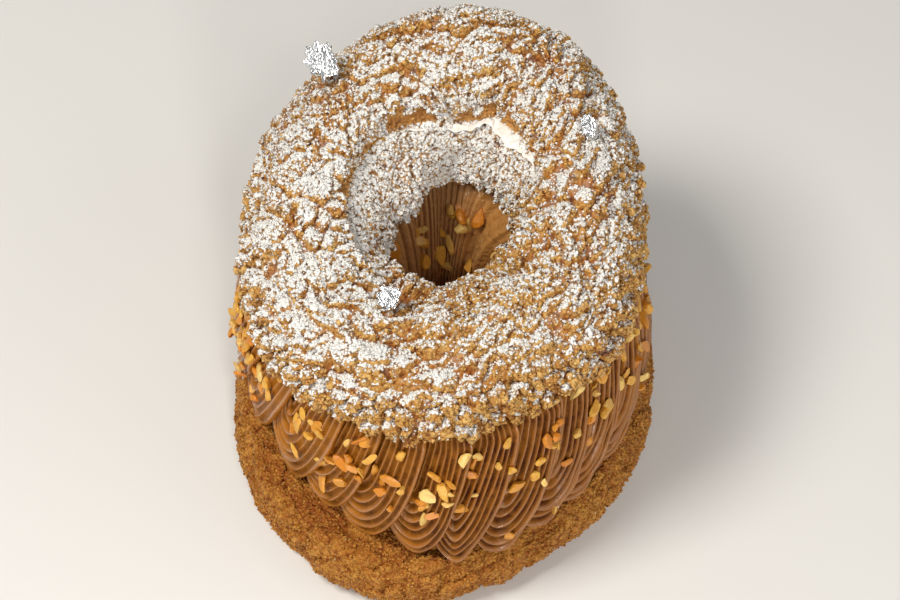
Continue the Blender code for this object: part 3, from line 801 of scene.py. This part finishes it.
# Most lies at the left in front, least on the clods in front
dust = dust + 0.32 * left_front ** 2 - (0.66 + 0.24 * np.cos(lid_turn)) * low_edge * front
inner_back = collar_open * smooth_step(78, 98, lid_degrees) * (1.0 - on_collar)
dust = dust + 0.07 * np.sin(lid_turn) + 0.07 * np.cos(lid_turn) + 0.03 + 0.22 * inner_back
dust = dust - 0.12 * np.exp(-(apart(lid_turn, math.radians(-68)) / 0.6) ** 2)
# The collar is dusted evenly, and thickly at its edge along the crease
rim = collar_open * np.exp(-((lid_degrees - RIM_AT + 0.3 * ragged) / RIM_WIDTH) ** 2)
dust = dust + on_collar * (0.66 + 0.5 * upper_side - dust)
dust = dust + 0.55 * rim * (0.6 + 0.6 * soft_noise(lid_skin, 0.007, 92))
dust = np.where(crust_here > 0.3, dust, -1.0) - 1.0 * bare
# depth makes low spots darker, and the lower edge a little darker too, through the crust finish: painted
# shade
make_piece(
    "choux_lid_crust", lid_skin.reshape(-1, 3), ring_faces(*LID_LINES),
    {"dust": dust, "depth": (1.0 - knob) * (1.0 - 0.8 * bare) + 0.05 * low_edge,
     "crack": np.maximum(crack * (1.0 - 0.5 * bare), np.maximum(0.90 * bare, 1.0 - crust_here))},
    LID_CRUST, ["choux_lid"])

# ---------------------------------------------------------------------------------------------------
# Crust crumbs
# Loose grains of the baked sugar crust that stand up from both halves, and the coarse crumbly clumps
# that hang along the lid's lower edge. They are the same baked sugar and flour as the crust.
# ---------------------------------------------------------------------------------------------------
GRAIN_COUNT = 24500
GRAIN_SIZE = (0.00030, 0.00056)      # from the middle of a grain to its points
CLUMP_COUNT = 420
CLUMP_SIZE = (0.0005, 0.0010)
BASE_GRAIN_COUNT = 14000
BASE_GRAIN_SIZE = (0.00025, 0.00048)
SUGARED_GRAIN = (-0.30, 0.22)        # how much less or more sugar a grain has than the crust under it


def pick_spots(skin, normal, density, count, dice):
    """Random spots on a closed grid, likelier where cells are larger and density higher.

    Returns their points, outward directions and cell numbers."""
    ahead, above = np.roll(skin, -1, 0), np.roll(skin, -1, 1)
    area = np.linalg.norm(np.cross(ahead - skin, above - skin), axis=-1)
    total = np.cumsum((area * np.maximum(density, 0.0)).ravel())
    cell = np.searchsorted(total, dice.random(count) * total[-1])
    row, column = np.unravel_index(cell, skin.shape[:2])
    u, v = dice.random((2, count, 1))
    next_row, next_column = (row + 1) % skin.shape[0], (column + 1) % skin.shape[1]
    low = skin[row, column] * (1 - u) + skin[next_row, column] * u
    high = skin[row, next_column] * (1 - u) + skin[next_row, next_column] * u
    return low * (1 - v) + high * v, normal[row, column], (row, column)


def eight_sided():
    """Corners and faces of the smallest closed lump: two points on each of three axes."""
    corners = np.array([(1, 0, 0), (-1, 0, 0), (0, 1, 0), (0, -1, 0), (0, 0, 1), (0, 0, -1)], float)
    faces = np.array([(0, 2, 4), (2, 1, 4), (1, 3, 4), (3, 0, 4),
                      (2, 0, 5), (1, 2, 5), (3, 1, 5), (0, 3, 5)])
    return corners, faces


def ball(levels):
    """Corners and faces of a ball of equal triangles."""
    net = bmesh.new()
    bmesh.ops.create_icosphere(net, subdivisions=levels, radius=1.0)
    corners = np.array([corner.co for corner in net.verts])
    faces = np.array([[corner.index for corner in face.verts] for face in net.faces])
    net.free()
    return corners, faces


def random_turns(count, dice):
    """One random rotation for each lump, from unit quaternions."""
    w, x, y, z = dice.normal(size=(4, count))
    length = np.sqrt(w * w + x * x + y * y + z * z)
    w, x, y, z = w / length, x / length, y / length, z / length
    return np.stack([
        np.stack([1 - 2 * (y * y + z * z), 2 * (x * y - z * w), 2 * (x * z + y * w)], axis=-1),
        np.stack([2 * (x * y + z * w), 1 - 2 * (x * x + z * z), 2 * (y * z - x * w)], axis=-1),
        np.stack([2 * (x * z - y * w), 2 * (y * z + x * w), 1 - 2 * (x * x + y * y)], axis=-1)], axis=1)


def strew(shape, centres, sizes, turns, dice, uneven=0.22):
    """Copies of a small shape, each stretched, turned and roughened, as corners and faces."""
    corners, faces = shape
    count = len(centres)
    stretch = sizes[:, None, None] * dice.uniform(0.75, 1.3, (count, 1, 3))
    rough = 1.0 + uneven * dice.uniform(-1.0, 1.0, (count, len(corners), 1))
    offsets = np.einsum("nij,nkj->nki", turns, corners[None] * stretch * rough)
    numbered = faces[None] + (np.arange(count) * len(corners))[:, None, None]
    return centres[:, None] + offsets, offsets, numbered.reshape(-1, faces.shape[1])


def add_crumbs(name, skin, normal, dust, density, count, size, shape, material, seed, sunk=0.35,
               more_dust=0.12, uneven=0.22):
    """Grains part sunk in a crust; sugar lies on their upper sides only."""
    dice = np.random.default_rng(seed)
    spots, away, cell = pick_spots(skin, normal, density, count, dice)
    sizes = dice.uniform(*size, count)
    centres = spots + away * (sizes * (0.5 - sunk))[:, None]
    points, offsets, faces = strew(shape, centres, sizes, random_turns(count, dice), dice, uneven)
    points[..., 2] = np.maximum(points[..., 2], 0.0)
    facing_up = offsets[..., 2] / sizes[:, None]
    standing = np.einsum("nki,ni->nk", offsets, away) / sizes[:, None]
    own_dust = dice.uniform(*SUGARED_GRAIN, count)[:, None]
    dusted = dust[cell][:, None] + more_dust + own_dust + 0.60 * np.minimum(facing_up, 0.5)
    tint = dice.uniform(-0.15, 0.30, count)[:, None]
    # Parts of a grain that sit low in the crust count as deeper, so the finish paints them darker: painted
    # shade
    piece = make_piece(name, points.reshape(-1, 3), faces,
                       {"dust": dusted, "depth": np.clip(0.35 - 0.45 * standing + tint, 0.0, 1.0),
                        "crack": np.zeros(points.shape[:2])}, material)
    piece.data.shade_flat()


grain_density = crust_here * (1.0 - 0.85 * bare) * (1.0 - 0.85 * crack) * (0.3 + knob)
add_crumbs("lid_grains", lid_skin, lid_normal, dust, grain_density, GRAIN_COUNT, GRAIN_SIZE, eight_sided(),
           LID_CRUST, 21)
clump_density = low_edge * smooth_step(-34, -16, lid_degrees) * (0.2 + front)
clump_density = clump_density + 0.03 * crust_here * (1 - bare)
add_crumbs("lid_clumps", lid_skin, lid_normal, dust, clump_density, CLUMP_COUNT, CLUMP_SIZE, ball(2),
           LID_CRUST, 22, sunk=0.50, more_dust=0.06, uneven=0.26)
base_dust = np.full(base_turn.shape, -0.4)
base_density = base_side * (1.0 - 0.75 * base_shoulder)
add_crumbs("base_grains", base_skin, base_normal, base_dust, base_density, BASE_GRAIN_COUNT, BASE_GRAIN_SIZE,
           eight_sided(), BASE_CRUST, 23)

# ---------------------------------------------------------------------------------------------------
# Icing sugar
# Fine white sugar sifted over the lid. It clings to the tops of the grains as specks, and drifts into
# a thick band in the crease between the dome and the collar.
# ---------------------------------------------------------------------------------------------------
SPECK_COUNT = 16000
SPECK_SIZE = (0.00016, 0.00036)
DRIFT_TURNS = (math.radians(4), math.radians(128))
DRIFT_LINES = (640, 26)              # mesh lines along the drift and round it
DRIFT_TUBE = math.radians(121)       # where on the lid's section it lies
DRIFT_THICK = (0.00040, 0.0008)      # all along, and added where it is thickest
DRIFT_THICKEST = (math.radians(44), 0.36)
DRIFT_TAPER = 0.60                   # how far from its ends it thins, as a turn
DRIFT_FLAT = (1.7, 0.45)             # its section across and up, in thicknesses
DRIFT_SETTLED = 0.0003
RUFFLES = ((0.00035, 0.0009), (0.00060, 0.0013))   # up and sideways: how far, and their size

powder = Finish("icing_sugar_finish")
powder.raised(powder.noise(2200.0, 4.0, 0.7), 0.0003, 0.6)
lumps_of_sugar = powder.noise(600.0, 3.0, 0.6)
SUGAR = powder.surface(Base_Color=powder.blend(powder.span(lumps_of_sugar, 0.3, 0.7), tone(240, 232, 218),
                                               tone(255, 253, 248)), Roughness=0.85)

speck_dice = np.random.default_rng(31)
speck_density = crust_here * np.clip(dust - 0.22, 0.0, 1.0) ** 1.3 * (0.2 + knob)
spots, away, cell = pick_spots(lid_skin, lid_normal, speck_density, SPECK_COUNT, speck_dice)
speck_sizes = speck_dice.uniform(*SPECK_SIZE, SPECK_COUNT)
speck_points, _, speck_faces = strew(eight_sided(), spots + away * (speck_sizes * 0.3)[:, None], speck_sizes,
                                     random_turns(SPECK_COUNT, speck_dice), speck_dice)
make_piece("sugar_specks", speck_points.reshape(-1, 3), speck_faces, {}, SUGAR)

drift_turn = np.linspace(*DRIFT_TURNS, DRIFT_LINES[0])
drift_plan, drift_height = lid_surface(drift_turn, np.full_like(drift_turn, DRIFT_TUBE))
drift_line = np.column_stack([drift_plan, drift_height])
# Thickest behind on the right, thinner on towards the left, and drawn to nothing at both ends
thickest, thickest_width = DRIFT_THICKEST
thick = DRIFT_THICK[0] + DRIFT_THICK[1] * np.exp(-(apart(drift_turn, thickest) / thickest_width) ** 2)
thick = thick * (1.0 + 0.55 * soft_noise(drift_line, 0.006, 61) + 0.45 * soft_noise(drift_line, 0.0022, 62))
ends_in = np.minimum(drift_turn - DRIFT_TURNS[0], DRIFT_TURNS[1] - drift_turn)
thick = thick * np.sqrt(np.clip(ends_in / DRIFT_TAPER, 0.0, 1.0))
drift_spin = np.linspace(0, 2 * math.pi, DRIFT_LINES[1], endpoint=False)
radial = drift_plan - np.array(LID_HOLE_CENTRE)
radial = np.column_stack([radial / np.linalg.norm(radial, axis=1, keepdims=True), np.zeros(len(radial))])
upwards = np.array([0, 0, 1.0])
drift_across = (DRIFT_FLAT[0] * thick[:, None] * np.cos(drift_spin)[None])[..., None]
drift_up = (DRIFT_FLAT[1] * thick[:, None] * np.sin(drift_spin)[None])[..., None]
drift = drift_line[:, None] + radial[:, None] * drift_across + upwards * drift_up
(ruffle_up, up_size), (ruffle_across, across_size) = RUFFLES
ruffled = (ruffle_up * soft_noise(drift, up_size, 63) - DRIFT_SETTLED)[..., None] * upwards
drift = drift + ruffled + ruffle_across * soft_noise(drift, across_size, 64)[..., None] * radial[:, None]
here = np.arange(drift.shape[0] * drift.shape[1]).reshape(drift.shape[:2])
beside = np.roll(here, 1, 1)
drift_faces = np.stack([here[:-1], beside[:-1], beside[1:], here[1:]], axis=-1).reshape(-1, 4)
make_piece("sugar_drift", drift.reshape(-1, 3), drift_faces, {}, SUGAR)

# ---------------------------------------------------------------------------------------------------
# Chopped hazelnuts
# Roasted hazelnuts chopped into angular bits and slivers, pressed on the cream by hand: a few down
# the hole, a handful in front, and crowded on the sides.
# ---------------------------------------------------------------------------------------------------
NUT_COUNT = 270
HOLE_NUT_COUNT = 26
NUT_SIZE = (0.00115, 0.00205)    # radius before the cuts
HOLE_NUT_LARGER = 1.2
NUT_STRETCH = ((0.9, 1.75), (0.65, 1.0), (0.45, 0.9))   # along, across and through, in radii
NUT_CUTS = 7
NUT_CUT_AT = (0.32, 0.72)        # distance of a cut from the middle, in radii
NUT_TILT = 0.35
NUT_CROWDS = (                   # where nuts crowd round the ring: direction, half width and share
    (math.radians(194), 0.27, 2.6),
    (math.radians(0), 0.42, 1.2),
    (math.radians(-85), 0.9, 0.85),
)

nuts = Finish("hazelnut_finish")
nut_shade = nuts.value("shade")
nut_grain = nuts.noise(700.0, 3.0, 0.6)
nut_colour = nuts.blend(nuts.span(nut_shade, 0.0, 0.55), tone(204, 126, 36), tone(220, 166, 68))
nut_colour = nuts.blend(nuts.span(nut_shade, 0.62, 1.0), nut_colour, tone(234, 200, 118))
nut_colour = nuts.blend(nuts.span(nut_grain, 0.4, 0.75, 0.0, 0.45), nut_colour, tone(190, 112, 36))
nuts.raised(nut_grain, 0.0004, 0.6)
nuts.shader.inputs["Subsurface Weight"].default_value = 0.1
nuts.shader.inputs["Subsurface Radius"].default_value = (0.002, 0.001, 0.0005)
nuts.shader.inputs["Subsurface Scale"].default_value = 1.0
HAZELNUT = nuts.surface(Base_Color=nut_colour, Roughness=0.42)

nut_dice = np.random.default_rng(41)
nut_turn = np.arctan2(rope_top[..., 1], rope_top[..., 0])
crowded = 0.25
for crowd_at, crowd_width, crowd_share in NUT_CROWDS:
    crowded = crowded + crowd_share * np.exp(-(apart(nut_turn, crowd_at) / crowd_width) ** 2)
# More of them high up, just under the lid
chance = np.where(seen, crowded * (0.10 + smooth_step(0.42, 0.85, level)), 0.0)
chance[:, [0, -1]] = 0.0
total = np.cumsum(chance.ravel())
picked = np.searchsorted(total, nut_dice.random(NUT_COUNT) * total[-1])
nut_spots = rope_top.reshape(-1, 3)[picked]
nut_away = rope_away.reshape(-1, 3)[picked]
core_normal = outward(core_skin)
hole_side = (np.cos(core_tube) < -0.2) & (core_level > 0.45) & (core_level < 0.95)
behind_right = np.exp(-(apart(core_turn, math.radians(60)) / 0.80) ** 2)
hole_chance = hole_side * core_level ** 3 * (0.05 + behind_right)
hole_spots, hole_away, _ = pick_spots(core_skin, core_normal, hole_chance, HOLE_NUT_COUNT, nut_dice)
nut_spots, nut_away = np.concatenate([nut_spots, hole_spots]), np.concatenate([nut_away, hole_away])
count = len(nut_spots)
nut_corners, nut_faces = ball(2)
nut_sizes = nut_dice.uniform(*NUT_SIZE, count)
nut_sizes[-HOLE_NUT_COUNT:] *= HOLE_NUT_LARGER
long_way = np.stack([nut_dice.uniform(*stretch, count) for stretch in NUT_STRETCH], axis=-1)
chips = np.repeat(nut_corners[None], count, axis=0)
# Flat chopped faces: everything beyond each random plane is pressed onto it
for cut in range(NUT_CUTS):
    facing = nut_dice.normal(size=(count, 3))
    facing = facing / np.linalg.norm(facing, axis=1, keepdims=True)
    beyond = np.einsum("nki,ni->nk", chips, facing) - nut_dice.uniform(*NUT_CUT_AT, count)[:, None]
    chips = chips - np.maximum(beyond, 0.0)[..., None] * facing[:, None]
chips = chips * (long_way * nut_sizes[:, None])[:, None]
# Laid flat on the cream, a little tilted, and turned about the way it faces
flat_x = np.cross(nut_away, nut_dice.normal(size=(count, 3)))
flat_x = flat_x / np.linalg.norm(flat_x, axis=1, keepdims=True)
flat_z = nut_away + NUT_TILT * nut_dice.normal(size=(count, 3))
flat_z = flat_z / np.linalg.norm(flat_z, axis=1, keepdims=True)
flat_y = np.cross(flat_z, flat_x)
flat_y = flat_y / np.linalg.norm(flat_y, axis=1, keepdims=True)
flat_x = np.cross(flat_y, flat_z)
frames = np.stack([flat_x, flat_y, flat_z], axis=1)
nut_points = nut_spots[:, None] + nut_away[:, None] * (0.4 * nut_sizes)[:, None, None] \
    + np.einsum("nki,nij->nkj", chips, frames)
nut_all = nut_faces[None] + (np.arange(count) * len(nut_corners))[:, None, None]
nut_shades = np.repeat(nut_dice.random(count), len(nut_corners))
nut_piece = make_piece("chopped_hazelnuts", nut_points.reshape(-1, 3), nut_all.reshape(-1, 3),
                       {"shade": nut_shades}, HAZELNUT)
nut_piece.data.shade_flat()

# ---------------------------------------------------------------------------------------------------
# Silver leaf
# Three torn flakes of edible silver leaf, beaten so thin that they crumple as they land: one stands up
# at the lid's back left edge, one lies beside the hole, and one clings to the right.
# ---------------------------------------------------------------------------------------------------
LEAF_LINES = 34
LEAF_THICKNESS = 0.00008
LEAF_FOLD = 0.20                 # height of its folds, in shares of its width
# seat: direction round the ring and round the lid's section, in degrees. faces: direction and rise of
# the way the flake faces. turn: about that way. off: how far up the flake and out it stands.
LEAF_FLAKES = (
    {"seat": (146, 60), "faces": (-100, 45), "turn": 12, "size": (0.0086, 0.0102), "off": (0.0024, 0.0033)},
    {"seat": (-112, 79), "faces": (-112, 63), "turn": 45, "size": (0.0066, 0.0072), "off": (0.0, 0.0024)},
    {"seat": (15, 68), "faces": (-80, 66), "turn": 6, "size": (0.0046, 0.0066), "off": (0.0, 0.0017)},
)

leaf = Finish("silver_leaf_finish")
leaf.raised(leaf.noise(900.0, 4.0, 0.7), 0.0002, 0.5)
LEAF = leaf.surface(Base_Color=(0.84, 0.85, 0.86, 1.0), Metallic=1.0, Roughness=0.22)


def lid_point(ring, tube):
    """A point on the lid and the outward direction there."""
    step = 0.01
    turns, tubes = np.array([ring, ring + step, ring]), np.array([tube, tube, tube + step])
    plan, height = lid_surface(turns, tubes)
    points = np.column_stack([plan, height])
    out = np.cross(points[1] - points[0], points[2] - points[0])
    return points[0], out / np.linalg.norm(out)


def facing_axes(azimuth, elevation, turn):
    """Rows across, up and out of a sheet that faces one way and is turned about that way."""
    out = np.array([math.cos(azimuth) * math.cos(elevation), math.sin(azimuth) * math.cos(elevation),
                    math.sin(elevation)])
    sideways = np.array([-math.sin(azimuth), math.cos(azimuth), 0.0])
    up_sheet = np.cross(out, sideways)
    cos, sin = math.cos(turn), math.sin(turn)
    return np.array([cos * sideways + sin * up_sheet, cos * up_sheet - sin * sideways, out]), up_sheet


for number, flake in enumerate(LEAF_FLAKES, start=1):
    # A square sheet with a torn outline, folded by noise that is sharper across the folds than along
    edge = np.linspace(-0.5, 0.5, LEAF_LINES)
    u, v = np.meshgrid(edge, edge, indexing="ij")
    angle = np.arctan2(v, u)
    flat = np.stack([np.cos(angle) * 2, np.sin(angle) * 2, np.full_like(u, number * 7.0)], axis=-1)
    tears = 0.6 + 0.6 * soft_noise(flat, 0.5, 80) + 0.5 * soft_noise(flat, 0.17, 81)
    torn = 1.0 - 0.45 * np.hypot(u, v) * tears
    torn = torn * (1.0 - 1.6 * np.abs(u * v) * (1.0 + 0.9 * soft_noise(flat, 0.9, 84)))
    width, height = flake["size"]
    plane = np.stack([u * 7.0, v * 2.0, np.full_like(u, number * 3.0)], axis=-1)
    folds = np.abs(soft_noise(plane, 1.0, 82)) + 0.5 * np.abs(soft_noise(plane, 0.45, 83))
    crumple = (folds - 0.5) * LEAF_FOLD * width
    sheet = np.stack([u * torn * width, v * torn * height, crumple], axis=-1)
    seat, out = lid_point(*(math.radians(angle) for angle in flake["seat"]))
    axes, up_sheet = facing_axes(*(math.radians(angle) for angle in (*flake["faces"], flake["turn"])))
    rise, lift = flake["off"]
    placed = sheet @ axes + seat + up_sheet * rise + out * lift
    here = np.arange(LEAF_LINES ** 2).reshape(LEAF_LINES, LEAF_LINES)
    faces = np.stack([here[:-1, :-1], here[1:, :-1], here[1:, 1:], here[:-1, 1:]], axis=-1).reshape(-1, 4)
    piece = make_piece(f"silver_leaf_{number}_foil", placed.reshape(-1, 3), faces, {}, LEAF,
                       [f"silver_leaf_{number}"])
    shell = piece.modifiers.new("thickness", "SOLIDIFY")
    shell.thickness, shell.offset = LEAF_THICKNESS, 0.0

# ---------------------------------------------------------------------------------------------------
# Floor, light and camera
# A plain pale floor, a soft lamp high on the left, a weaker and wider one on the right, two small ones
# in front that give the cream its glints, and a camera that looks down on the pastry from in front.
# ---------------------------------------------------------------------------------------------------
FLOOR_SIZE = 4.0
LIT_POINT = (0, 0, 0.04)
LAMPS = (                        # place, size, power and colour
    ("key_lamp", (-0.38, -0.14, 0.74), 0.28, 4.9, (1.0, 0.97, 0.92)),
    ("fill_lamp", (0.60, -0.25, 0.45), 0.5, 1.0, (1.0, 0.98, 0.96)),
    ("glint_lamp", (0.05, -0.62, 0.24), 0.08, 1.5, (1.0, 0.98, 0.95)),
    ("front_lamp", (0.10, -0.50, 0.66), 0.09, 0.8, (1.0, 0.98, 0.95)),
)
CAMERA_TARGET = np.array([0.0014, 0.0040, 0.0340])
CAMERA_ELEVATION = math.radians(53)
CAMERA_DISTANCE = 0.5952

floor_mesh = bpy.data.meshes.new("floor")
half = FLOOR_SIZE / 2
floor_corners = [(-half, -half, 0), (half, -half, 0), (half, half, 0), (-half, half, 0)]
floor_mesh.from_pydata(floor_corners, [], [(0, 1, 2, 3)])
floor = bpy.data.objects.new("floor", floor_mesh)
bpy.context.scene.collection.objects.link(floor)
paper = Finish("floor_finish")
floor_mesh.materials.append(paper.surface(Base_Color=tone(226, 224, 220), Roughness=0.6))


def add_lamp(name, place, size, power, colour):
    """A square lamp that faces the middle of the pastry."""
    lamp = bpy.data.lights.new(name, "AREA")
    lamp.size, lamp.energy, lamp.color = size, power, colour
    holder = bpy.data.objects.new(name, lamp)
    holder.location = place
    holder.rotation_euler = (Vector(LIT_POINT) - Vector(place)).to_track_quat("-Z", "Y").to_euler()
    bpy.context.scene.collection.objects.link(holder)


for lamp_row in LAMPS:
    add_lamp(*lamp_row)

world = bpy.data.worlds.new("studio")
world.use_nodes = True
world.node_tree.nodes["Background"].inputs["Color"].default_value = (1.0, 0.99, 0.97, 1.0)
world.node_tree.nodes["Background"].inputs["Strength"].default_value = 0.23
bpy.context.scene.world = world
bpy.context.scene.view_settings.view_transform = "Standard"

camera = bpy.data.cameras.new("camera")
camera.lens, camera.sensor_width = 100.0, 36.0
viewer = bpy.data.objects.new("camera", camera)
back_off = CAMERA_DISTANCE * np.array([0.0, -math.cos(CAMERA_ELEVATION), math.sin(CAMERA_ELEVATION)])
viewer.location = CAMERA_TARGET + back_off
viewer.rotation_euler = (math.pi / 2 - CAMERA_ELEVATION, 0.0, 0.0)
bpy.context.scene.collection.objects.link(viewer)
bpy.context.scene.camera = viewer
